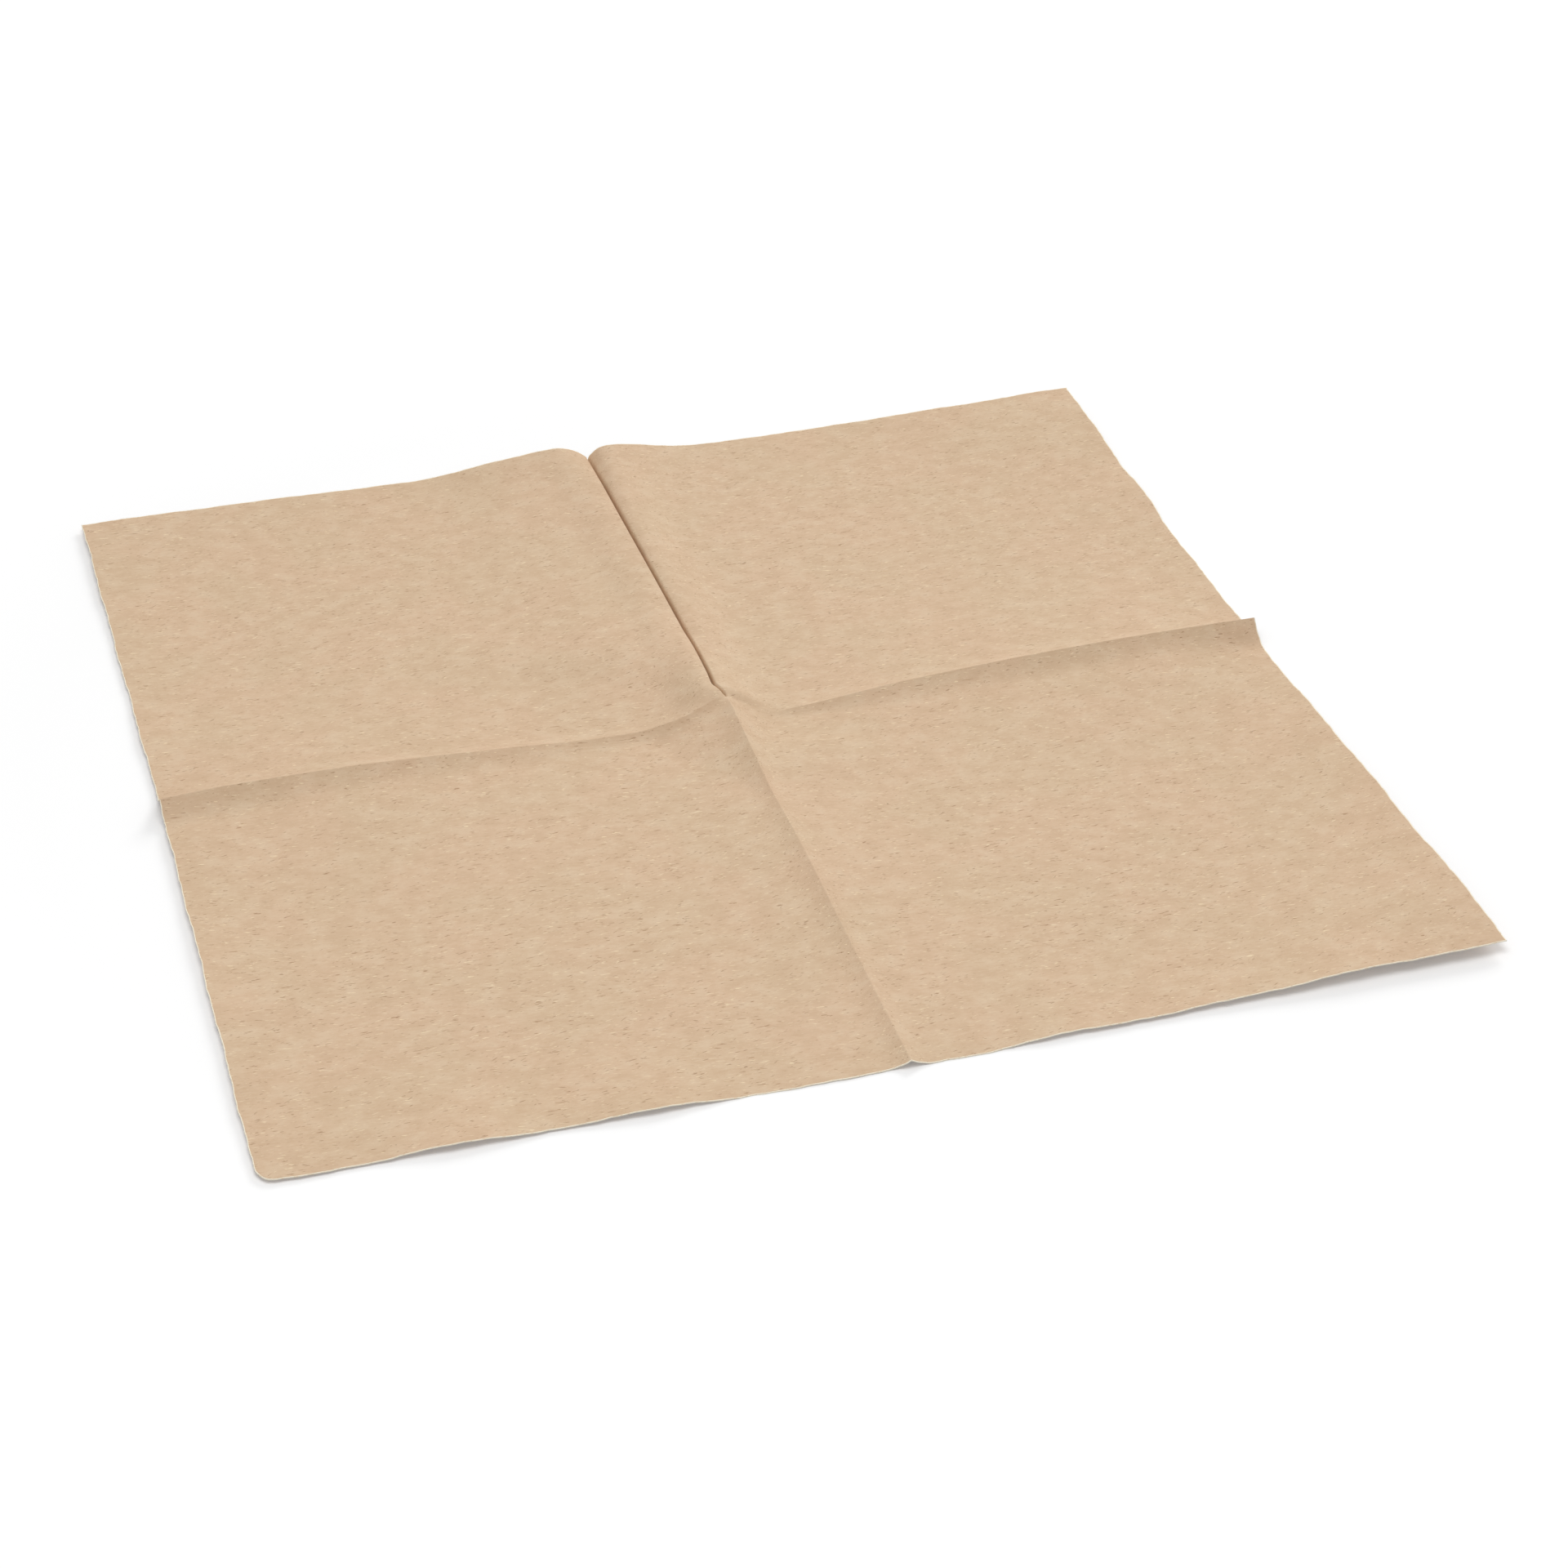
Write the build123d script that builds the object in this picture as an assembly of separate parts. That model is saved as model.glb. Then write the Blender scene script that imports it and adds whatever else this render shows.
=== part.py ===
from build123d import *
from math import hypot
import os

# Paper napkin: one square sheet of kraft paper. It was folded into quarters and opened out
# again, so four panels meet at a raised point near its middle. The fold from left to right
# stands up as a ridge all along. The second fold is a ridge in front of that point and a
# valley behind it, with a swelling along each side of the valley. Corners and edges lift a
# little, and the rest of the paper lies on the surface.
#
# Millimetres. X runs left to right, Y front to back, Z up. The sheet's plan is centred on
# the origin, and its lowest places are at Z = 0. All heights are of the paper's underside.
# A panel is named by its side (-1 left, 1 right) and its end (-1 front, 1 back).

# The sheet
sheet_width = 330.0
sheet_depth = 330.0
paper_thickness = 0.25
worn_corner_radius = 5.0

# Plan of the folds: where they cross, and where each one meets its edge
middle_x = 0.2
middle_y = 1.0
left_fold_end_y = -1.8
right_fold_end_y = 3.2
back_fold_end_x = -1.2
front_fold_end_x = -0.4

# How far the relief draws each fold's end and each corner in from the flat outline
left_fold_end_in = 0.9
right_fold_end_in = 0.7
back_fold_end_in = 0.3
front_fold_end_in = 0.0
corners_in = {
    (-1, -1): (0.1, 0.8),
    (1, -1): (0.3, 2.1),
    (-1, 1): (0.0, 0.3),
    (1, 1): (0.0, 1.4),
}

# The raised point: its height, how nearly straight its slopes are (1 is straight), how far
# they reach along each fold, and how far the paper around it is pushed back
point_height = 6.4
point_curve = 1.3
point_reach_left = 30.0
point_reach_right = 14.0
point_reach_back = 50.0
point_reach_front = 46.0
point_shift_back = 3.4
point_shift_reach = 15.0

# Ridges along the folds: (share of the way from the crossing to the edge, height). Each
# ridge is a broad slope with a narrow crest on it.
left_ridge_slope = [(0, 0), (0.2, 0), (0.42, 1.6), (0.7, 3.6), (0.88, 2.8), (1, 1.4)]
left_ridge_crest = [(0, 0), (0.2, 1.2), (0.42, 2.3), (0.7, 2.8), (0.88, 3.8), (1, 4.4)]
right_ridge_slope = [(0, 0), (0.13, 0), (0.33, 1.8), (0.58, 3.4), (0.79, 4.1), (1, 0.6)]
right_ridge_crest = [(0, 0), (0.13, 1.4), (0.33, 2.5), (0.58, 2.8), (0.79, 2.6), (1, 5.7)]
front_ridge_slope = [(0, 0), (0.25, 2.1), (0.42, 3.2), (0.73, 1.4), (1, 0.1)]
front_ridge_crest = [(0, 0), (0.25, 1.2), (0.42, 1.2), (0.73, 1.3), (1, 2.0)]
valley_floor_height = [(0, 0), (0.2, 0.5), (0.45, 1.1), (0.75, 0.9), (1, 0.8)]

# How far each ridge's slope reaches from its fold
left_ridge_reach_front = 78.0
left_ridge_reach_back = 60.0
right_ridge_reach_front = 62.0
right_ridge_reach_back = 60.0
front_ridge_reach_left = 40.0
front_ridge_reach_right = 50.0
valley_reach = 30.0
crest_reach_front = 8.0
crest_reach_back = 9.5
crest_reach_sides = 7.0

# Swellings beside the valley: (share of the way from the crossing to the edge, top's
# height), how far each one's top is from the valley, and how far it reaches beyond its top
left_swelling_top = [(0, 0), (0.2, 2.2), (0.36, 2.4), (0.67, 1.7), (0.88, 2.8), (1, 5.8)]
left_swelling_offset = 11.7
left_swelling_reach = 47.0
right_swelling_top = [(0, 0), (0.3, 0), (0.55, 0), (0.79, 0.6), (1, 3.2)]
right_swelling_offset = 7.6
right_swelling_reach = 29.0
valley_lip_top = [(0, 0), (0.2, 2.0), (0.85, 1.7), (1, 0.4)]
valley_lip_offset = 3.3
valley_lip_reach = 16.0

# Lifted corners, and waves along each half edge: (share of the way from the fold to the
# corner, height). End edges are the front and back ones, side edges the left and right.
corner_lift = {(-1, -1): 0.6, (1, -1): 3.6, (-1, 1): 1.5, (1, 1): 3.7}
corner_lift_reach = 80.0
wave_reach = 40.0
end_edge_waves = {
    (-1, -1): [(0, 0), (0.25, 0), (0.4, 1.8), (0.55, 0.6), (0.7, 1.9), (0.85, 0), (1, 0)],
    (1, -1): [(0, 0), (0.12, 0), (0.25, 1.4), (0.4, 1.2), (0.7, 2.1), (0.85, 0.6), (1, 0)],
    (-1, 1): [(0, 0), (0.12, 0), (0.4, 1.3), (0.55, 1.6), (0.7, 1.3), (0.85, 0.6), (1, 0)],
    (1, 1): [(0, 0), (0.12, 0.8), (0.4, 0.8), (0.55, 1.5), (0.7, 0.9), (0.85, 0), (1, 0)],
}
side_edge_waves = {
    (-1, -1): [(0, 0), (0.25, 1.5), (0.4, 2.2), (0.7, 1.6), (0.85, 1.0), (1, 0.4)],
    (1, -1): [(0, 0), (0.12, 0.2), (0.25, 1.4), (0.55, 3.1), (0.7, 2.2), (0.85, 1.8), (1, 0)],
    (-1, 1): [(0, 0), (0.12, 0.6), (0.25, 1.4), (0.7, 1.0), (0.85, 0.7), (1, 0.3)],
    (1, 1): [(0, 0), (0.4, 0), (0.55, 1.8), (0.7, 0), (1, 0)],
}

# Where the surface's curves run across each panel, as shares of the way from fold to edge
curve_shares = [0, 0.02, 0.045, 0.09, 0.16, 0.25, 0.36, 0.5, 0.65, 0.8, 0.91, 1]

# How closely each surface keeps to its curves, so that neighbouring panels share them
net_tolerance = 1e-7

half_width = sheet_width / 2
half_depth = sheet_depth / 2


def smooth(points, at):
    """The value at a share, on a smooth curve that never overshoots its points."""
    if at >= points[-1][0]:
        return points[-1][1]
    slopes = [
        (after[1] - before[1]) / (after[0] - before[0])
        for before, after in zip(points, points[1:])
    ]
    tangents = [
        2 * left * right / (left + right) if left * right > 0 else 0.0
        for left, right in zip(slopes, slopes[1:])
    ]
    tangents = [slopes[0]] + tangents + [slopes[-1]]
    span = max(i for i in range(len(slopes)) if points[i][0] <= at)
    (start, low), (end, high) = points[span], points[span + 1]
    length = end - start
    t = (at - start) / length
    return (
        low * (2 * t**3 - 3 * t**2 + 1)
        + high * (3 * t**2 - 2 * t**3)
        + length * tangents[span] * (t**3 - 2 * t**2 + t)
        + length * tangents[span + 1] * (t**3 - t**2)
    )


def slope_down(share):
    """From 1 at a crest to 0 at the foot, sharp at the crest and level at the foot."""
    return max(0.0, 1 - share) ** 2


def rounded(share):
    """From 1 at the top to 0 at the foot, level at both."""
    return max(0.0, 1 - share**2) ** 2


def swelling(across, offset, reach):
    """Across a swelling: steep from the valley, rounded on top, level at the foot."""
    if across < offset:
        return across / offset * (2 - across / offset)
    return rounded((across - offset) / reach)


def raised_point(left, front, from_side_fold, from_end_fold):
    """Height of the raised point's slope in one panel."""
    reach_x = point_reach_left if left else point_reach_right
    reach_y = point_reach_front if front else point_reach_back
    share = from_end_fold / reach_x + from_side_fold / reach_y
    return point_height * max(0.0, 1 - share) ** point_curve


def side_ridge(left, front, to_side, from_side_fold):
    """Height of the ridge along the fold from left to right."""
    if left:
        slope, crest = left_ridge_slope, left_ridge_crest
        reach = left_ridge_reach_front if front else left_ridge_reach_back
    else:
        slope, crest = right_ridge_slope, right_ridge_crest
        reach = right_ridge_reach_front if front else right_ridge_reach_back
    crest_reach = crest_reach_front if front else crest_reach_back
    return (
        smooth(slope, to_side) * slope_down(from_side_fold / reach)
        + smooth(crest, to_side) * slope_down(from_side_fold / crest_reach)
    )


def front_ridge(left, to_end, from_end_fold):
    """Height of the ridge in front of the raised point."""
    reach = front_ridge_reach_left if left else front_ridge_reach_right
    return (
        smooth(front_ridge_slope, to_end) * slope_down(from_end_fold / reach)
        + smooth(front_ridge_crest, to_end) * slope_down(from_end_fold / crest_reach_sides)
    )


def valley(left, to_end, from_end_fold):
    """Height of the paper beside the valley behind the raised point."""
    if left:
        top, offset, reach = left_swelling_top, left_swelling_offset, left_swelling_reach
    else:
        top, offset, reach = right_swelling_top, right_swelling_offset, right_swelling_reach
    return (
        smooth(valley_floor_height, to_end) * slope_down(from_end_fold / valley_reach)
        + smooth(top, to_end) * swelling(from_end_fold, offset, reach)
        + smooth(valley_lip_top, to_end)
        * swelling(from_end_fold, valley_lip_offset, valley_lip_reach)
    )


def lifted_edges(side, end, x, y, to_side, to_end):
    """Height of a panel's lifted corner and of the waves along its two cut edges."""
    from_side_edge = half_width - abs(x)
    from_end_edge = half_depth - abs(y)
    return (
        corner_lift[side, end]
        * rounded(hypot(from_side_edge, from_end_edge) / corner_lift_reach)
        + smooth(end_edge_waves[side, end], to_side)
        * slope_down(from_end_edge / wave_reach)
        + smooth(side_edge_waves[side, end], to_end)
        * slope_down(from_side_edge / wave_reach)
    )


def panel_point(side, end, to_side, to_end):
    """A point of the underside, at its shares of the way from the folds to the edges."""
    left, front = side < 0, end < 0
    side_fold_end_y = left_fold_end_y if left else right_fold_end_y
    end_fold_end_x = front_fold_end_x if front else back_fold_end_x
    side_fold_end_x = side * (half_width - (left_fold_end_in if left else right_fold_end_in))
    end_fold_end_y = end * (half_depth - (front_fold_end_in if front else back_fold_end_in))
    corner_x = side * (half_width - corners_in[side, end][0])
    corner_y = end * (half_depth - corners_in[side, end][1])
    fold_x = middle_x + to_end * (end_fold_end_x - middle_x)
    fold_y = middle_y + to_side * (side_fold_end_y - middle_y)
    near_x = middle_x + to_side * (side_fold_end_x - middle_x)
    far_x = end_fold_end_x + to_side * (corner_x - end_fold_end_x)
    near_y = middle_y + to_end * (end_fold_end_y - middle_y)
    far_y = side_fold_end_y + to_end * (corner_y - side_fold_end_y)
    x = near_x + to_end * (far_x - near_x)
    y = near_y + to_side * (far_y - near_y)
    from_side_fold = abs(y - fold_y)
    from_end_fold = abs(x - fold_x)
    height = raised_point(left, front, from_side_fold, from_end_fold)
    height += side_ridge(left, front, to_side, from_side_fold)
    if front:
        height += front_ridge(left, to_end, from_end_fold)
    else:
        height += valley(left, to_end, from_end_fold)
    height += lifted_edges(side, end, x, y, to_side, to_end)
    from_point = hypot(x - middle_x, y - middle_y)
    pushed_back = point_shift_back * rounded(min(1.0, from_point / point_shift_reach))
    return (x, y + pushed_back, height)


def curve(points):
    """A smooth curve whose points lie at the same shares on every curve of a panel."""
    return Edge.make_spline(points, parameters=curve_shares)


def panel(side, end):
    """One quarter of the underside, as a surface over a net of curves."""
    sideways = [
        curve([panel_point(side, end, to_side, to_end) for to_side in curve_shares])
        for to_end in curve_shares
    ]
    endways = [
        curve([panel_point(side, end, to_side, to_end) for to_end in curve_shares])
        for to_side in curve_shares
    ]
    edges = [sideways[-1], endways[-1]]
    return Face.make_gordon_surface(sideways, endways, net_tolerance), edges


def sheet():
    """The solid sheet: its underside, the top one thickness higher, and the cut edge."""
    lift_up = Location((0, 0, paper_thickness))
    faces = []
    for side in (-1, 1):
        for end in (-1, 1):
            face, edges = panel(side, end)
            faces += [face, face.moved(lift_up)]
            for edge in edges:
                faces.append(Face.make_surface_from_curves(edge, edge.moved(lift_up)))
    skin = Face.sew_faces(faces)[0]
    return Solid(Shell(skin))


def worn_corner():
    """What wear has taken off the front left corner, outside its rounding."""
    tall = sheet_width
    block = Box(2 * worn_corner_radius, 2 * worn_corner_radius, tall)
    post = Pos(worn_corner_radius, worn_corner_radius, 0) * Cylinder(
        worn_corner_radius, tall
    )
    in_x, in_y = corners_in[-1, -1]
    return Pos(in_x - half_width, in_y - half_depth, 0) * (block - post)


if __name__ == "__main__":
    napkin = sheet() - worn_corner()
    box = napkin.bounding_box()
    napkin = Pos(-box.center().X, -box.center().Y, -box.min.Z) * napkin
    os.makedirs("parts", exist_ok=True)
    export_step(napkin, "parts/napkin_sheet.step")
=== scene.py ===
"""Looks of a paper napkin: one square sheet of brown kraft paper that was folded into
quarters and opened out again, lying on a white floor."""

import math

import bpy
import numpy as np
from mathutils import Matrix, Vector


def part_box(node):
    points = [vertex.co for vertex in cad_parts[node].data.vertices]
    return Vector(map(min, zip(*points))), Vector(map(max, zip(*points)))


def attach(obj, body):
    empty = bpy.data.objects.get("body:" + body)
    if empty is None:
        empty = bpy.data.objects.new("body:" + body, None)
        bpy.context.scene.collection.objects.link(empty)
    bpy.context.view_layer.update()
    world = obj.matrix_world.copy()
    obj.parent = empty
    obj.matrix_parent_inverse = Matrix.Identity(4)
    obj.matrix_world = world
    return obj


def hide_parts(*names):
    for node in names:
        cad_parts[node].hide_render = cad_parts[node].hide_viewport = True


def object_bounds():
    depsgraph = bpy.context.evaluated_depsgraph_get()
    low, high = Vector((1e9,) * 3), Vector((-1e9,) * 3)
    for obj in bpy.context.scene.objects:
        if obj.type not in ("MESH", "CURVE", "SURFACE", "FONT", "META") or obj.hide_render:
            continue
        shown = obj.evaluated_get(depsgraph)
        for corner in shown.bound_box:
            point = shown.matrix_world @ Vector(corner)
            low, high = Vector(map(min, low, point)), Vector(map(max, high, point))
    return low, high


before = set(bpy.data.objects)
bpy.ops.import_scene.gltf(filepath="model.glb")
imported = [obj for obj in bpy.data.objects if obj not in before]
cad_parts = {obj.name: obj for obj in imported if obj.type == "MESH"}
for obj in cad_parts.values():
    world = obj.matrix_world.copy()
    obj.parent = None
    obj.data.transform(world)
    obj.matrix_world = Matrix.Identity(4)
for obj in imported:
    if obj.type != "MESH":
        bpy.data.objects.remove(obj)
cad_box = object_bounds()

MM = 0.001

# ---------------------------------------------------------------- the sheet's sizes, mm

flat_width = 330.0
flat_depth = 330.0
half_width = flat_width / 2
half_depth = flat_depth / 2
paper_thickness = 0.25
worn_corner_radius = 5.0

# Plan of the folds: where they cross, and where each one meets its edge
middle_x = 0.2
middle_y = 1.0
left_fold_end_y = -1.8
right_fold_end_y = 3.2
back_fold_end_x = -1.2
front_fold_end_x = -0.4

# How far each corner and each fold's end is drawn in from the flat outline
left_fold_end_in = 0.9
right_fold_end_in = 0.7
back_fold_end_in = 0.3
front_fold_end_in = 0.0
corners_in = {
    (-1, -1): (0.1, 0.8),
    (1, -1): (0.3, 2.1),
    (-1, 1): (0.0, 0.3),
    (1, 1): (0.0, 1.4),
}

# The raised point: its height, how nearly straight its slopes are (1 is straight), how far
# they reach along each fold, and how far the paper around it is pushed back
point_height = 6.4
point_curve = 1.3
point_reach_left = 27.0
point_reach_right = 14.0
point_reach_back = 50.0
point_reach_front = 46.0
point_shift_back = 3.4
point_shift_reach = 15.0

# Ridges along the folds: (share of the way from the crossing to the edge, crest's height).
# Each one is a broad slope with a narrow crest on it.
left_ridge_slope = [(0, 0), (0.2, 0), (0.42, 1.6), (0.7, 3.6), (0.88, 2.8), (1, 1.4)]
left_ridge_crest = (
    [(0, 0), (0.02, 1.3), (0.12, 1.7), (0.2, 1.6)]
    + [(0.42, 2.3), (0.7, 2.8), (0.88, 3.8), (1, 4.4)]
)
right_ridge_slope = [(0, 0), (0.13, 0), (0.33, 1.8), (0.58, 3.4), (0.79, 4.1), (1, 0.6)]
right_ridge_crest = (
    [(0, 0), (0.06, 0.3), (0.13, 1.4), (0.33, 2.5)]
    + [(0.58, 2.8), (0.79, 2.6), (1, 5.7)]
)
front_ridge_slope = [(0, 0), (0.25, 2.1), (0.42, 3.2), (0.73, 1.4), (1, 0.1)]
front_ridge_crest = [(0, 0), (0.03, 0.9), (0.25, 1.2), (0.42, 1.2), (0.73, 1.3), (1, 2.0)]
valley_floor = [(0, 0), (0.2, 0.5), (0.45, 1.1), (0.75, 0.9), (1, 0.8)]

# How far each ridge's slopes reach from its crest. In front, the left and right crests
# are narrower near the crossing, by these shares.
left_ridge_reach_front = 78.0
left_ridge_reach_back = 60.0
right_ridge_reach_front = 62.0
right_ridge_reach_back = 60.0
front_ridge_reach_left = 40.0
front_ridge_reach_right = 50.0
valley_reach = 30.0
crest_reach_front = 8.0
crest_reach_back = 9.5
crest_reach_sides = 7.0
front_crest_narrowing = [(0, 0.35), (0.15, 0.5), (0.35, 1), (1, 1)]

# Swellings beside the valley: (share of the way from the crossing to the edge, top's height)
left_swelling_top = [(0, 0), (0.2, 2.2), (0.36, 2.4), (0.67, 1.7), (0.88, 2.8), (1, 5.8)]
right_swelling_top = [(0, 0), (0.3, 0.0), (0.55, 0.0), (0.79, 0.6), (1, 3.2)]
left_swelling_offset = 11.7
left_swelling_reach = 47.0
right_swelling_offset = 7.6
right_swelling_reach = 29.0

# Lifted corners, and waves along each half edge: heights at shares from fold to corner
corner_lift = {(-1, -1): 0.6, (1, -1): 3.6, (-1, 1): 1.5, (1, 1): 3.7}
corner_lift_reach = 80.0
wave_shares = [0, 0.12, 0.25, 0.4, 0.55, 0.7, 0.85, 1]
end_edge_waves = {
    (-1, -1): [0, 0.2, 0, 1.8, 0.6, 1.9, 0, 0],
    (1, -1): [0, 0, 1.4, 1.2, 2.0, 2.1, 0.6, 0],
    (-1, 1): [0, 0, 0.9, 1.3, 1.6, 1.3, 0.6, 0],
    (1, 1): [0, 0.8, 0.8, 0.8, 1.5, 0.9, 0, 0],
}
side_edge_waves = {
    (-1, -1): [0, 1.2, 1.5, 2.2, 1.8, 1.6, 1.0, 0.4],
    (1, -1): [0, 0.2, 1.4, 2.4, 3.1, 2.2, 1.8, 0],
    (-1, 1): [0, 0.6, 1.4, 1.1, 1.1, 1.0, 0.7, 0.3],
    (1, 1): [0, 0, 0, 0, 1.8, 0, 0, 0],
}
wave_reach = 40.0

# Small wanders of the cut edges in plan: wave length and size, and how far in they reach
edge_wanders = ((43.0, 0.16), (17.0, 0.10), (7.3, 0.07), (3.1, 0.04))
edge_wander_reach = 8.0
end_edge_turn = 3

# Fine relief that only the looks have: the valley's walls, as a narrow slot between
# lips, and a wider slope behind the right one
valley_lips = [(0, 0), (0.02, 1.5), (0.04, 2.0), (0.2, 2.2), (0.85, 1.8), (1, 0.4)]
valley_lip_offset = 0.5
valley_lip_reach = 16.0
valley_cut = [(0, 0), (0.015, 2.0), (0.05, 3.2), (0.15, 2.8), (0.85, 2.4), (1, 0.4)]
valley_cut_reach = 0.8
valley_bank = [(0, 0), (0.03, 1.4), (0.1, 1.5), (0.2, 1.1), (0.9, 1.2), (1, 0.9)]
valley_bank_offset = 4.5
valley_bank_reach = 18.0

# Near the point the valley bends to the left: how far it is moved, and how far to each
# side the paper moves with it
valley_bend = [(0, 0), (0.05, 1.9), (0.12, 1.0), (0.25, 0), (1, 0)]
valley_bend_reach = 14.0

# Soft folds: plan points with their heights, and how far their slopes reach to the front
# and to the back. The first arches over the back left panel, the second leaves the point.
soft_folds = {
    (-1, 1): (
        [(-4, 12, 0.9), (-9, 32, 1.5), (-28, 47, 1.7), (-52, 49, 1.3), (-78, 40, 0)],
        (17.0, 32.0),
    ),
    (1, -1): ([(5, -9, 0), (11, -16, 0.9), (28, -20, 0.8), (46, -26, 0)], (26.0, 6.0)),
}

# How near a crease the soft folds fade out
soft_fold_fade = 4.0

# ---------------------------------------------------------------- the sheet's shape


def smooth(points, at):
    """Values on a smooth curve through the points that never overshoots them."""
    shares, heights = np.array(points, float).T
    slopes = np.diff(heights) / np.diff(shares)
    both = slopes[:-1] * slopes[1:]
    total = np.where(both > 0, slopes[:-1] + slopes[1:], 1)
    tangents = np.zeros(len(shares))
    tangents[0], tangents[-1] = slopes[0], slopes[-1]
    tangents[1:-1] = np.where(both > 0, 2 * both / total, 0)
    at = np.clip(at, 0, 1)
    span = np.clip(np.searchsorted(shares, at, side="right") - 1, 0, len(slopes) - 1)
    length = shares[span + 1] - shares[span]
    t = (at - shares[span]) / length
    return (
        heights[span] * (2 * t**3 - 3 * t**2 + 1)
        + heights[span + 1] * (3 * t**2 - 2 * t**3)
        + length * tangents[span] * (t**3 - 2 * t**2 + t)
        + length * tangents[span + 1] * (t**3 - t**2)
    )


def slope_down(share):
    """From 1 at a crest to 0 at the foot, sharp at the crest and level at the foot."""
    return np.maximum(0, 1 - share) ** 2


def cone(share):
    """From 1 at a point to 0 at the foot, almost straight and level at the foot."""
    return np.maximum(0, 1 - share) ** point_curve


def rounded(share):
    """From 1 at the top to 0 at the foot, level at both."""
    return np.maximum(0, 1 - share**2) ** 2


def swelling(across, offset, reach):
    """Across a swelling: steep from the valley, rounded on top, level at the foot."""
    rise = across / offset * (2 - across / offset)
    fall = rounded(np.maximum(0, across - offset) / reach)
    return np.where(across < offset, rise, fall)


def plan_points(side, end):
    """A panel's four corners in plan: crossing, side fold's end, end fold's end, corner."""
    side_in = left_fold_end_in if side < 0 else right_fold_end_in
    side_y = left_fold_end_y if side < 0 else right_fold_end_y
    end_in = front_fold_end_in if end < 0 else back_fold_end_in
    end_x = front_fold_end_x if end < 0 else back_fold_end_x
    in_x, in_y = corners_in[side, end]
    return (
        np.array((middle_x, middle_y)),
        np.array((side * (half_width - side_in), side_y)),
        np.array((end_x, end * (half_depth - end_in))),
        np.array((side * (half_width - in_x), end * (half_depth - in_y))),
    )


def fold_height(side, end, to_side, to_end, from_side_fold, from_end_fold):
    """Height of the folds' ridges, valley and swellings in one panel."""
    left, front = side < 0, end < 0
    point_reach_x = point_reach_left if left else point_reach_right
    point_reach_y = point_reach_front if front else point_reach_back
    height = point_height * cone(
        from_end_fold / point_reach_x + from_side_fold / point_reach_y
    )
    if left:
        slope, crest = left_ridge_slope, left_ridge_crest
        reach = left_ridge_reach_front if front else left_ridge_reach_back
    else:
        slope, crest = right_ridge_slope, right_ridge_crest
        reach = right_ridge_reach_front if front else right_ridge_reach_back
    height += smooth(slope, to_side) * slope_down(from_side_fold / reach)
    crest_reach = crest_reach_back
    if front:
        crest_reach = crest_reach_front * smooth(front_crest_narrowing, to_side)
    height += smooth(crest, to_side) * slope_down(from_side_fold / crest_reach)
    if front:
        reach = front_ridge_reach_left if left else front_ridge_reach_right
        height += smooth(front_ridge_slope, to_end) * slope_down(from_end_fold / reach)
        height += smooth(front_ridge_crest, to_end) * slope_down(
            from_end_fold / crest_reach_sides
        )
        return height
    if left:
        top, offset, reach = left_swelling_top, left_swelling_offset, left_swelling_reach
    else:
        top, offset, reach = (
            right_swelling_top,
            right_swelling_offset,
            right_swelling_reach,
        )
    height += smooth(valley_floor, to_end) * slope_down(from_end_fold / valley_reach)
    height += smooth(top, to_end) * swelling(from_end_fold, offset, reach)
    height += smooth(valley_lips, to_end) * swelling(
        from_end_fold, valley_lip_offset, valley_lip_reach
    )
    height -= smooth(valley_cut, to_end) * slope_down(from_end_fold / valley_cut_reach)
    height = np.maximum(height, 0)
    if not left:
        height += smooth(valley_bank, to_end) * swelling(
            from_end_fold, valley_bank_offset, valley_bank_reach
        )
    return height


def edge_height(side, end, x, y, to_side, to_end):
    """Height of a panel's lifted corner and of the waves along its two cut edges."""
    from_side_edge = half_width - np.abs(x)
    from_end_edge = half_depth - np.abs(y)
    height = corner_lift[side, end] * rounded(
        np.hypot(from_side_edge, from_end_edge) / corner_lift_reach
    )
    end_waves = list(zip(wave_shares, end_edge_waves[side, end]))
    side_waves = list(zip(wave_shares, side_edge_waves[side, end]))
    height += smooth(end_waves, to_side) * slope_down(from_end_edge / wave_reach)
    height += smooth(side_waves, to_end) * slope_down(from_side_edge / wave_reach)
    return height


def edge_wander(along, turn):
    """How far a cut edge wanders outward, with its own turn of the same waves."""
    return sum(
        size * np.sin(2 * math.pi * along / length + turn * number)
        for number, (length, size) in enumerate(edge_wanders, 1)
    )


def soft_fold_height(points, reaches, x, y):
    """Height of a soft fold, rounded across, with its own reach to the front and back."""
    place = np.stack([x, y], -1)
    nearest = np.full(x.shape, np.inf)
    height = np.zeros(x.shape)
    for start, stop in zip(points, points[1:]):
        start, stop = np.array(start, float), np.array(stop, float)
        run = stop[:2] - start[:2]
        along = np.clip((place - start[:2]) @ run / (run @ run), 0, 1)
        away = place - start[:2] - along[..., None] * run
        distance = np.linalg.norm(away, axis=-1)
        reach = np.where(away[..., 1] < 0, *reaches)
        top = start[2] + along * (stop[2] - start[2])
        closer = distance < nearest
        height = np.where(closer, top * rounded(np.minimum(distance / reach, 1)), height)
        nearest = np.where(closer, distance, nearest)
    return height


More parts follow.
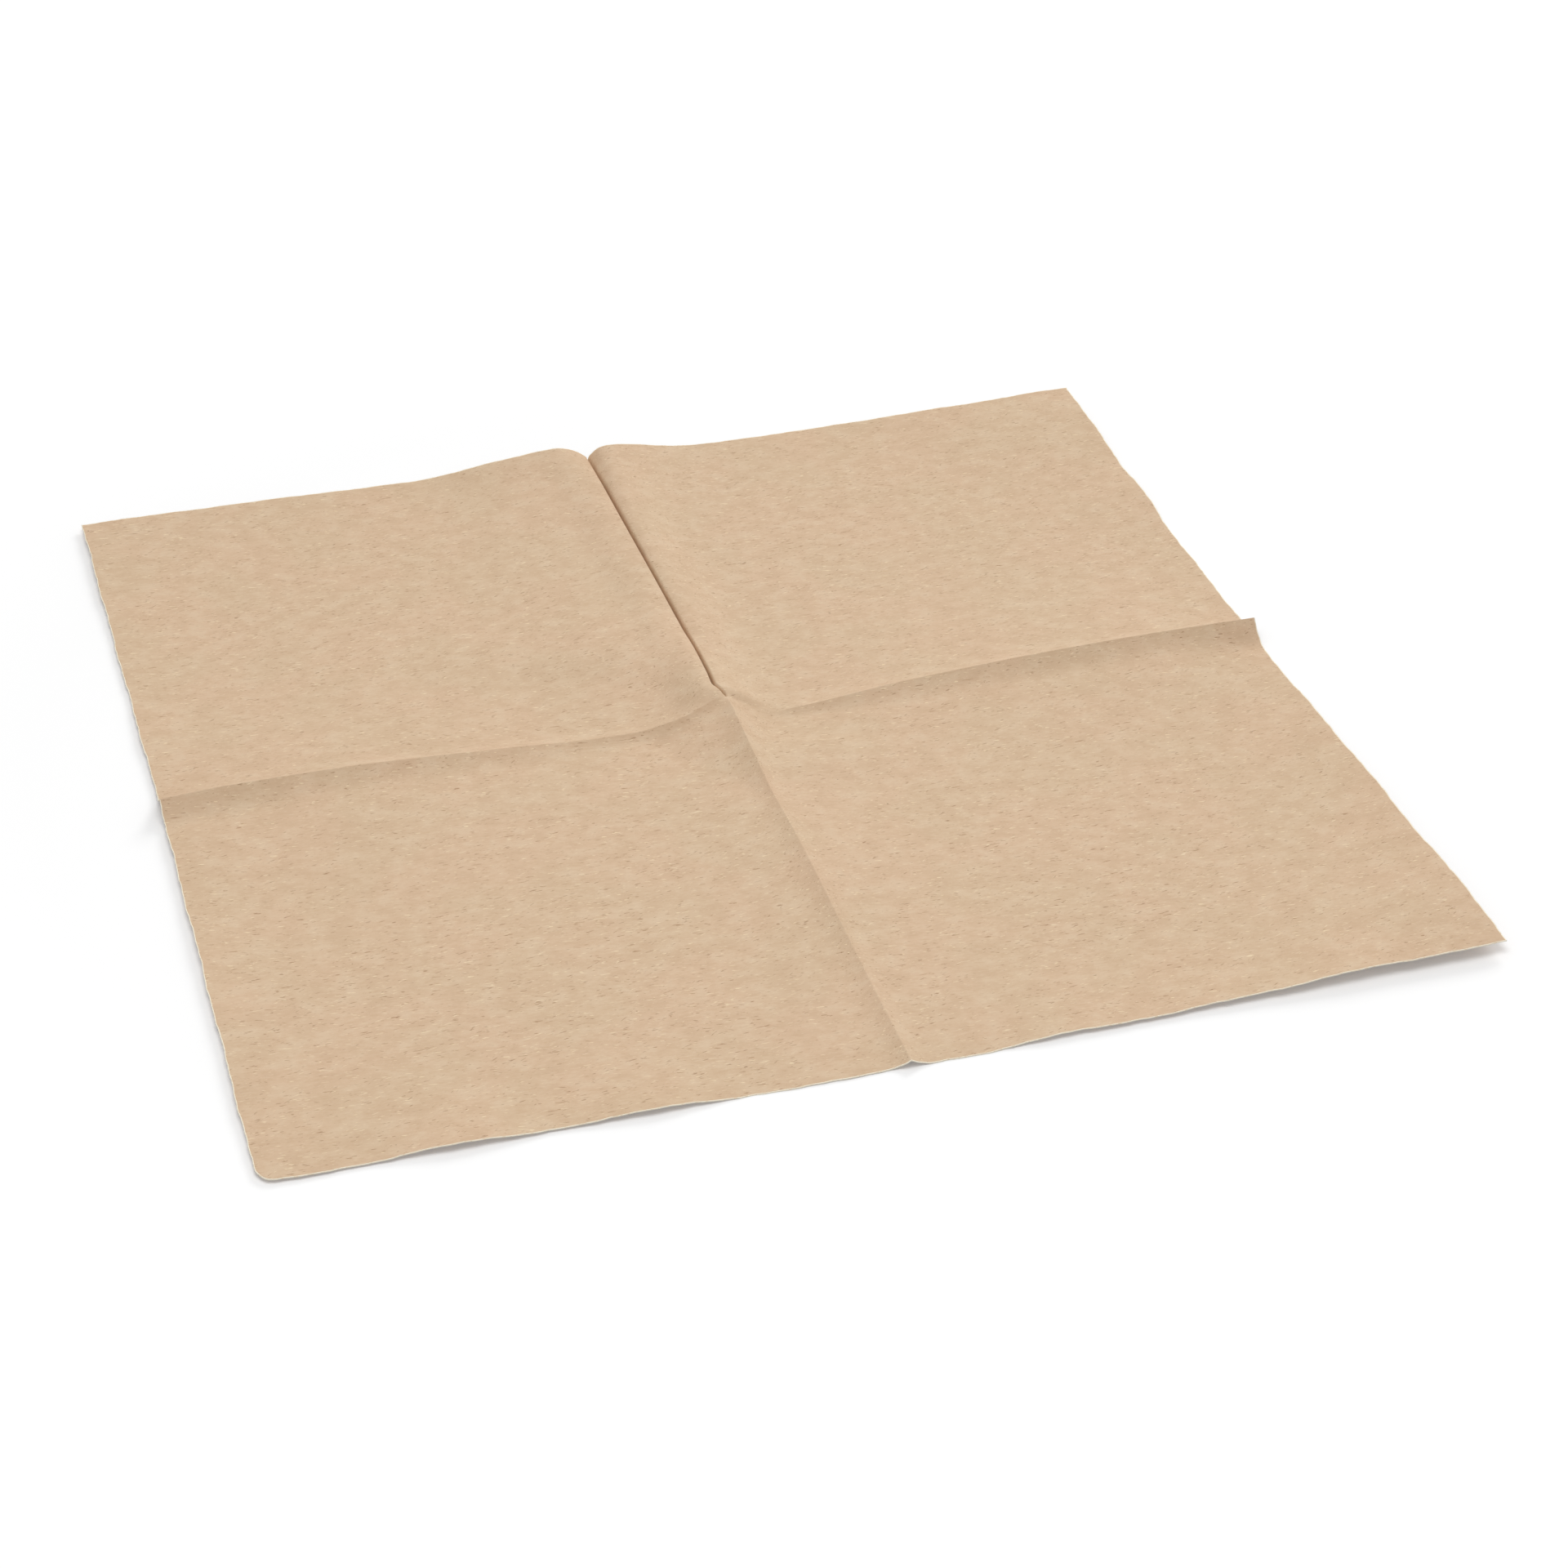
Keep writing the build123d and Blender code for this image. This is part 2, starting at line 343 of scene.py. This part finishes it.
def panel_points(side, end, to_side, to_end):
    """Points of the underside, at their shares of the way from the folds to the edges."""
    crossing, side_end, end_end, corner = plan_points(side, end)
    s, e = to_side[..., None], to_end[..., None]
    plan = (
        (1 - s) * (1 - e) * crossing
        + s * (1 - e) * side_end
        + (1 - s) * e * end_end
        + s * e * corner
    )
    x, y = plan[..., 0], plan[..., 1]
    from_point = np.hypot(*(plan - crossing).transpose(2, 0, 1))
    shift = point_shift_back * rounded(np.minimum(1, from_point / point_shift_reach))
    fold_x = crossing[0] + to_end * (end_end[0] - crossing[0])
    fold_y = crossing[1] + to_side * (side_end[1] - crossing[1])
    from_side_fold, from_end_fold = np.abs(y - fold_y), np.abs(x - fold_x)
    height = fold_height(side, end, to_side, to_end, from_side_fold, from_end_fold)
    height += edge_height(side, end, x, y, to_side, to_end)
    if (side, end) in soft_folds:
        nearest_fold = np.minimum(from_side_fold, from_end_fold)
        fade = 1 - slope_down(nearest_fold / soft_fold_fade)
        height += fade * soft_fold_height(*soft_folds[side, end], x, y)
    to_side_edge = np.minimum(1, (half_width - np.abs(x)) / edge_wander_reach)
    to_end_edge = np.minimum(1, (half_depth - np.abs(y)) / edge_wander_reach)
    x, y = (
        x + edge_wander(y, side) * rounded(to_side_edge),
        y + edge_wander(x, end + end_edge_turn) * rounded(to_end_edge) + shift,
    )
    if end > 0:
        from_valley = np.minimum(1, np.abs(x - fold_x) / valley_bend_reach)
        x = x - smooth(valley_bend, to_end) * rounded(from_valley)
    return np.stack([x, y, height], -1)


# ---------------------------------------------------------------- the sheet's mesh

panel_steps = 100
fine_steps = 4001
crowding_at_fold = 9.0
crowding_at_edge = 2.0
crowded_at_fold = 0.012
crowded_at_edge = 0.03
# Width of the top face's band along the edge that takes the near-white edge colour, a painted
# highlight along the edge line, partly the paler cut paper
pale_edge_highlight_width = 0.3


def panel_shares():
    """Shares from fold to edge, closest together beside the fold and along the edge."""
    fine = np.linspace(0, 1, fine_steps)
    density = (
        1
        + crowding_at_fold * np.exp(-fine / crowded_at_fold)
        + crowding_at_edge * np.exp(-(1 - fine) / crowded_at_edge)
    )
    passed = np.concatenate([[0], np.cumsum((density[1:] + density[:-1]) / 2)])
    shares = np.interp(np.linspace(0, passed[-1], panel_steps), passed, fine)
    # One more share, at the inner side of the edge band with the painted highlight
    return np.insert(shares, panel_steps - 1, 1 - pale_edge_highlight_width / half_width)


def sheet_points():
    """The underside's points, row by row from front left to back right."""
    shares = panel_shares()
    to_side, to_end = np.meshgrid(shares, shares)
    count = 2 * panel_steps + 1
    points = np.zeros((count, count, 3))
    for side in (-1, 1):
        for end in (-1, 1):
            panel = panel_points(side, end, to_side, to_end)
            panel = panel[::end, ::side]
            rows = slice(0, panel_steps + 1) if end < 0 else slice(panel_steps, count)
            columns = slice(0, panel_steps + 1) if side < 0 else slice(panel_steps, count)
            points[rows, columns] = panel
    return points


def round_worn_corner(points):
    """Draws what is outside the front left corner's rounding in to its arc."""
    centre = points[0, 0, :2] + worn_corner_radius
    away = points[..., :2] - centre
    outside = (away < 0).all(-1)
    far = np.maximum(-away.min(-1), 1e-9)
    distance = np.linalg.norm(away, axis=-1)
    inward = np.where(outside, far / np.maximum(distance, 1e-9), 1)
    points[..., :2] = np.where(
        outside[..., None], centre + away * inward[..., None], points[..., :2]
    )


def make_sheet():
    points = sheet_points()
    round_worn_corner(points)
    count = points.shape[0]
    low = points.reshape(-1, 3).copy()
    box_low, box_high = (np.array(corner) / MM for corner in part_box("napkin_sheet"))
    low += (box_low + box_high - low.min(0) - low.max(0)) / 2 * (1, 1, 0)
    low[:, 2] += box_low[2] - low[:, 2].min()
    high = low + (0, 0, paper_thickness)
    vertices = np.concatenate([low, high]) * MM
    grid = np.arange(count * count).reshape(count, count)
    quads = np.stack([grid[:-1, :-1], grid[:-1, 1:], grid[1:, 1:], grid[1:, :-1]], -1)
    quads = quads.reshape(-1, 4)
    top = quads + count * count
    border = np.concatenate(
        [grid[0, :-1], grid[:-1, -1], grid[-1, :0:-1], grid[:0:-1, 0]]
    )
    after = np.roll(border, -1)
    rim = np.stack([border, after, after + count * count, border + count * count], -1)
    faces = np.concatenate([quads[:, ::-1], top, rim])
    mesh = bpy.data.meshes.new("napkin")
    mesh.from_pydata(vertices.tolist(), [], faces.tolist())
    mesh.polygons.foreach_set("use_smooth", np.arange(len(faces)) < len(faces) - len(rim))
    materials = np.zeros(len(faces), int)
    materials[-len(rim) :] = 1
    # The rim and the top face's outermost ring take the near-white edge colour: a painted
    # highlight along the edge line, partly the paler cut paper
    around = np.ones((count - 1, count - 1), bool)
    around[1:-1, 1:-1] = False
    materials[len(quads) : 2 * len(quads)][around.ravel()] = 1
    mesh.materials.append(kraft_paper())
    mesh.materials.append(pale_edge_and_painted_highlight())
    mesh.polygons.foreach_set("material_index", materials)
    mesh.update()
    napkin = bpy.data.objects.new("napkin", mesh)
    bpy.context.scene.collection.objects.link(napkin)
    return napkin


# ---------------------------------------------------------------- materials


class Nodes:
    """Short ways to add and join a material's nodes."""

    def __init__(self, name):
        self.material = bpy.data.materials.new(name)
        self.material.use_nodes = True
        self.tree = self.material.node_tree
        self.tree.nodes.clear()
        self.output = self.tree.nodes.new("ShaderNodeOutputMaterial")

    def add(self, kind, **settings):
        node = self.tree.nodes.new("ShaderNode" + kind)
        for name, value in settings.items():
            setattr(node, name, value)
        return node

    def join(self, start, end):
        self.tree.links.new(start, end)

    def math(self, operation, first, second=None):
        node = self.add("Math", operation=operation)
        for socket, value in zip(node.inputs, (first, second)):
            if isinstance(value, (int, float)):
                socket.default_value = value
            elif value is not None:
                self.join(value, socket)
        return node.outputs[0]

    def place(self, turn=0.0, scale=(1, 1, 1)):
        """The object's own coordinates in metres, turned about Z and then scaled."""
        coordinates = self.add("TexCoord")
        turned = self.add("Mapping")
        turned.inputs["Rotation"].default_value = (0, 0, math.radians(turn))
        self.join(coordinates.outputs["Object"], turned.inputs["Vector"])
        scaled = self.add("Mapping")
        scaled.inputs["Scale"].default_value = scale
        self.join(turned.outputs[0], scaled.inputs["Vector"])
        return scaled.outputs[0]

    def noise(self, vector, detail=2.0, roughness=0.5, seed=0.0):
        node = self.add("TexNoise", noise_dimensions="4D")
        node.inputs["Scale"].default_value = 1.0
        node.inputs["Detail"].default_value = detail
        node.inputs["Roughness"].default_value = roughness
        node.inputs["W"].default_value = seed
        self.join(vector, node.inputs["Vector"])
        return node.outputs["Fac"]

    def between(self, value, low, high):
        """0 where the value is low or less, 1 where it is high or more."""
        node = self.add("MapRange", interpolation_type="SMOOTHSTEP")
        node.inputs["From Min"].default_value = low
        node.inputs["From Max"].default_value = high
        self.join(value, node.inputs["Value"])
        return node.outputs["Result"]

    def tint(self, colour, mask, toward, share):
        """The colour, mixed toward another by the mask times a share."""
        node = self.add("Mix", data_type="RGBA")
        self.join(self.math("MULTIPLY", mask, share), node.inputs["Factor"])
        if isinstance(colour, tuple):
            node.inputs["A"].default_value = (*colour, 1)
        else:
            self.join(colour, node.inputs["A"])
        node.inputs["B"].default_value = (*toward, 1)
        return node.outputs["Result"]


def linear(red, green, blue):
    """A colour from its 0 to 255 display values."""
    return tuple(
        value / 12.92 if value <= 0.04045 else ((value + 0.055) / 1.055) ** 2.4
        for value in (red / 255, green / 255, blue / 255)
    )


def per(length_x, length_y=None):
    """Scale for a texture whose features have these lengths in millimetres."""
    length_y = length_y or length_x
    return (1 / (length_x * MM), 1 / (length_y * MM), 1 / (length_y * MM))


def kraft_paper():
    nodes = Nodes("kraft_paper")
    colour = linear(216, 189, 158)
    cloud = nodes.noise(nodes.place(scale=per(30)), detail=3, seed=1.0)
    colour = nodes.tint(colour, nodes.between(cloud, 0.4, 0.6), linear(220, 188, 158), 0.5)
    blotch = nodes.noise(nodes.place(8, per(7, 5)), detail=4, roughness=0.6, seed=2.0)
    colour = nodes.tint(colour, nodes.between(blotch, 0.45, 0.65), linear(207, 177, 146), 0.5)
    colour = nodes.tint(colour, nodes.between(blotch, 0.5, 0.35), linear(223, 199, 170), 0.5)
    grain = nodes.noise(nodes.place(4, per(2.2, 0.6)), detail=3, roughness=0.6, seed=3.0)
    colour = nodes.tint(colour, nodes.between(grain, 0.5, 0.7), linear(202, 169, 135), 0.3)
    colour = nodes.tint(colour, nodes.between(grain, 0.46, 0.3), linear(229, 207, 178), 0.3)
    fibre_height = nodes.math("MULTIPLY", grain, 0.5)
    fibres = (
        (2, 0.70, linear(154, 114, 80), 0.6),
        (-9, 0.71, linear(146, 106, 76), 0.55),
        (24, 0.73, linear(154, 116, 84), 0.5),
        (-33, 0.74, linear(150, 112, 80), 0.5),
        (7, 0.69, linear(248, 228, 192), 0.6),
        (-14, 0.71, linear(246, 226, 192), 0.55),
    )
    for number, (turn, rarity, tone, share) in enumerate(fibres):
        strand = nodes.noise(
            nodes.place(turn, per(2.8, 0.45)), detail=1.0, seed=10.0 + number
        )
        mask = nodes.between(strand, rarity - 0.025, rarity + 0.03)
        colour = nodes.tint(colour, mask, tone, share)
        fibre_height = nodes.math("ADD", fibre_height, mask)
    for size, radius, chance, tone, share, seed in (
        (4.5, 0.26, 0.2, linear(112, 76, 50), 0.85, 0.31),
        (17.0, 0.6, 0.25, linear(62, 40, 26), 0.95, 0.77),
        (2.8, 0.22, 0.16, linear(148, 108, 76), 0.7, 0.53),
    ):
        cells = nodes.add("TexVoronoi", voronoi_dimensions="4D", feature="F1")
        cells.inputs["Scale"].default_value = 1.0
        cells.inputs["W"].default_value = seed
        nodes.join(nodes.place(12, per(size, size * 0.7)), cells.inputs["Vector"])
        edge = radius / size
        spot = nodes.between(cells.outputs["Distance"], edge * 1.4, edge * 0.7)
        picked = nodes.add("SeparateColor")
        nodes.join(cells.outputs["Color"], picked.inputs[0])
        chosen = nodes.math("LESS_THAN", picked.outputs[0], chance)
        colour = nodes.tint(colour, nodes.math("MULTIPLY", spot, chosen), tone, share)
    shader = nodes.add("BsdfPrincipled")
    nodes.join(colour, shader.inputs["Base Color"])
    shader.inputs["Specular IOR Level"].default_value = 0.25
    dull = nodes.add("MapRange")
    dull.inputs["To Min"].default_value = 0.78
    dull.inputs["To Max"].default_value = 0.95
    nodes.join(grain, dull.inputs["Value"])
    nodes.join(dull.outputs["Result"], shader.inputs["Roughness"])
    bump = nodes.add("Bump")
    bump.inputs["Strength"].default_value = 0.5
    bump.inputs["Distance"].default_value = 0.05 * MM
    nodes.join(fibre_height, bump.inputs["Height"])
    nodes.join(bump.outputs[0], shader.inputs["Normal"])
    nodes.join(shader.outputs[0], nodes.output.inputs["Surface"])
    return nodes.material


def pale_edge_and_painted_highlight():
    """The cut edge and a narrow band of the top face along it, near white: partly the paper's
    paler cut, partly a painted highlight along the edge line. Rougher than the faces.
    """
    nodes = Nodes("pale_edge_and_painted_highlight")
    grain = nodes.noise(nodes.place(scale=per(0.9)), detail=2, seed=4.0)
    # Near-white edge colour, mottled with a darker cream: a painted highlight along the edge
    # line, partly the paler cut paper
    colour = nodes.tint(
        linear(255, 246, 226), nodes.between(grain, 0.5, 0.7), linear(236, 216, 186), 0.7
    )
    shader = nodes.add("BsdfPrincipled")
    nodes.join(colour, shader.inputs["Base Color"])
    shader.inputs["Roughness"].default_value = 0.95
    shader.inputs["Specular IOR Level"].default_value = 0.1
    nodes.join(shader.outputs[0], nodes.output.inputs["Surface"])
    return nodes.material


# The floor glows least within the first distance, in metres, and most beyond the second
glow_near = 0.2
glow_far = 2.0
least_glow = 0.175
most_glow = 1.0


def seen_directly(tree):
    """1 for rays from the camera, from a mirror or through glass, else 0."""
    path = tree.nodes.new("ShaderNodeLightPath")
    total = path.outputs["Is Camera Ray"]
    for name in ("Is Glossy Ray", "Is Transmission Ray"):
        node = tree.nodes.new("ShaderNodeMath")
        node.operation = "MAXIMUM"
        tree.links.new(total, node.inputs[0])
        tree.links.new(path.outputs[name], node.inputs[1])
        total = node.outputs[0]
    return total


def white_floor():
    """A pale floor that shows as white, and as grey where the napkin shades it. It glows
    a little more far from the napkin, where the softbox's light falls off."""
    nodes = Nodes("white_floor")
    plain = nodes.add("BsdfDiffuse")
    plain.inputs["Color"].default_value = (0.8, 0.8, 0.8, 1)
    shown = nodes.add("BsdfDiffuse")
    shown.inputs["Color"].default_value = (0.88, 0.88, 0.88, 1)
    glow = nodes.add("Emission")
    away = nodes.add("VectorMath", operation="LENGTH")
    nodes.join(nodes.place(), away.inputs[0])
    rise = nodes.add("MapRange")
    rise.inputs["From Min"].default_value = glow_near
    rise.inputs["From Max"].default_value = glow_far
    rise.inputs["To Min"].default_value = least_glow
    rise.inputs["To Max"].default_value = most_glow
    nodes.join(away.outputs["Value"], rise.inputs["Value"])
    nodes.join(rise.outputs["Result"], glow.inputs["Strength"])
    bright = nodes.add("AddShader")
    nodes.join(shown.outputs[0], bright.inputs[0])
    nodes.join(glow.outputs[0], bright.inputs[1])
    mixed = nodes.add("MixShader")
    nodes.join(seen_directly(nodes.tree), mixed.inputs[0])
    nodes.join(plain.outputs[0], mixed.inputs[1])
    nodes.join(bright.outputs[0], mixed.inputs[2])
    nodes.join(mixed.outputs[0], nodes.output.inputs["Surface"])
    return nodes.material


# ---------------------------------------------------------------- studio

floor_half = 6.0
sky_share = 0.46

# Lamps: azimuth and elevation in degrees, distance and width in metres, share of the light
lamps = {
    "softbox": (-25.0, 77.0, 1.0, 0.7, 0.38),
    "back_light": (140.0, 28.0, 2.2, 0.9, 0.17),
}
view_azimuth = -17.07
view_elevation = 33.86
view_roll = 0.50
view_distance = 0.967
view_target = Vector((5.8, -33.9, 0)) * MM
lens = 79.0
sensor = 36.0


def direction(azimuth, elevation):
    """Unit vector toward a place at that azimuth, 0 in front and 90 to the right."""
    a, e = math.radians(azimuth), math.radians(elevation)
    return Vector((math.sin(a) * math.cos(e), -math.cos(a) * math.cos(e), math.sin(e)))


def make_floor():
    mesh = bpy.data.meshes.new("floor")
    corners = [(-1, -1), (1, -1), (1, 1), (-1, 1)]
    points = [(x * floor_half, y * floor_half, 0) for x, y in corners]
    mesh.from_pydata(points, [], [(0, 1, 2, 3)])
    mesh.materials.append(white_floor())
    floor = bpy.data.objects.new("floor", mesh)
    bpy.context.scene.collection.objects.link(floor)
    floor.location.z = cad_box[0].z
    return floor


def make_sky():
    world = bpy.data.worlds.new("sky")
    bpy.context.scene.world = world
    world.use_nodes = True
    tree = world.node_tree
    tree.nodes.clear()
    lighting = tree.nodes.new("ShaderNodeBackground")
    lighting.inputs["Strength"].default_value = sky_share
    shown = tree.nodes.new("ShaderNodeBackground")
    for background in (lighting, shown):
        background.inputs["Color"].default_value = (1, 1, 1, 1)
    mixed = tree.nodes.new("ShaderNodeMixShader")
    output = tree.nodes.new("ShaderNodeOutputWorld")
    tree.links.new(seen_directly(tree), mixed.inputs[0])
    tree.links.new(lighting.outputs[0], mixed.inputs[1])
    tree.links.new(shown.outputs[0], mixed.inputs[2])
    tree.links.new(mixed.outputs[0], output.inputs["Surface"])


def make_lamp(name, azimuth, elevation, distance, width, share):
    """A round soft light that gives a level surface at the origin its share of the light."""
    toward = direction(azimuth, elevation)
    lamp = bpy.data.lights.new(name, "AREA")
    lamp.shape = "DISK"
    lamp.size = width
    lamp.energy = share * math.pi**2 * distance**2 / toward.z
    light = bpy.data.objects.new(name, lamp)
    bpy.context.scene.collection.objects.link(light)
    light.location = toward * distance
    light.rotation_euler = toward.to_track_quat("Z", "Y").to_euler()


def make_camera():
    back = direction(view_azimuth, view_elevation)
    azimuth = math.radians(view_azimuth)
    level = Vector((math.cos(azimuth), math.sin(azimuth), 0))
    upright = back.cross(level)
    roll = math.radians(view_roll)
    right = level * math.cos(roll) + upright * math.sin(roll)
    up = upright * math.cos(roll) - level * math.sin(roll)
    data = bpy.data.cameras.new("camera")
    data.lens = lens
    data.sensor_width = sensor
    camera = bpy.data.objects.new("camera", data)
    bpy.context.scene.collection.objects.link(camera)
    turn = Matrix((right, up, back)).transposed().to_4x4()
    camera.matrix_world = Matrix.Translation(view_target + back * view_distance) @ turn
    bpy.context.scene.camera = camera


floor = make_floor()
make_sky()
for name, settings in lamps.items():
    make_lamp(name, *settings)
make_camera()
bpy.context.scene.view_settings.view_transform = "Standard"

napkin = make_sheet()
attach(napkin, "root")
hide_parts("napkin_sheet")
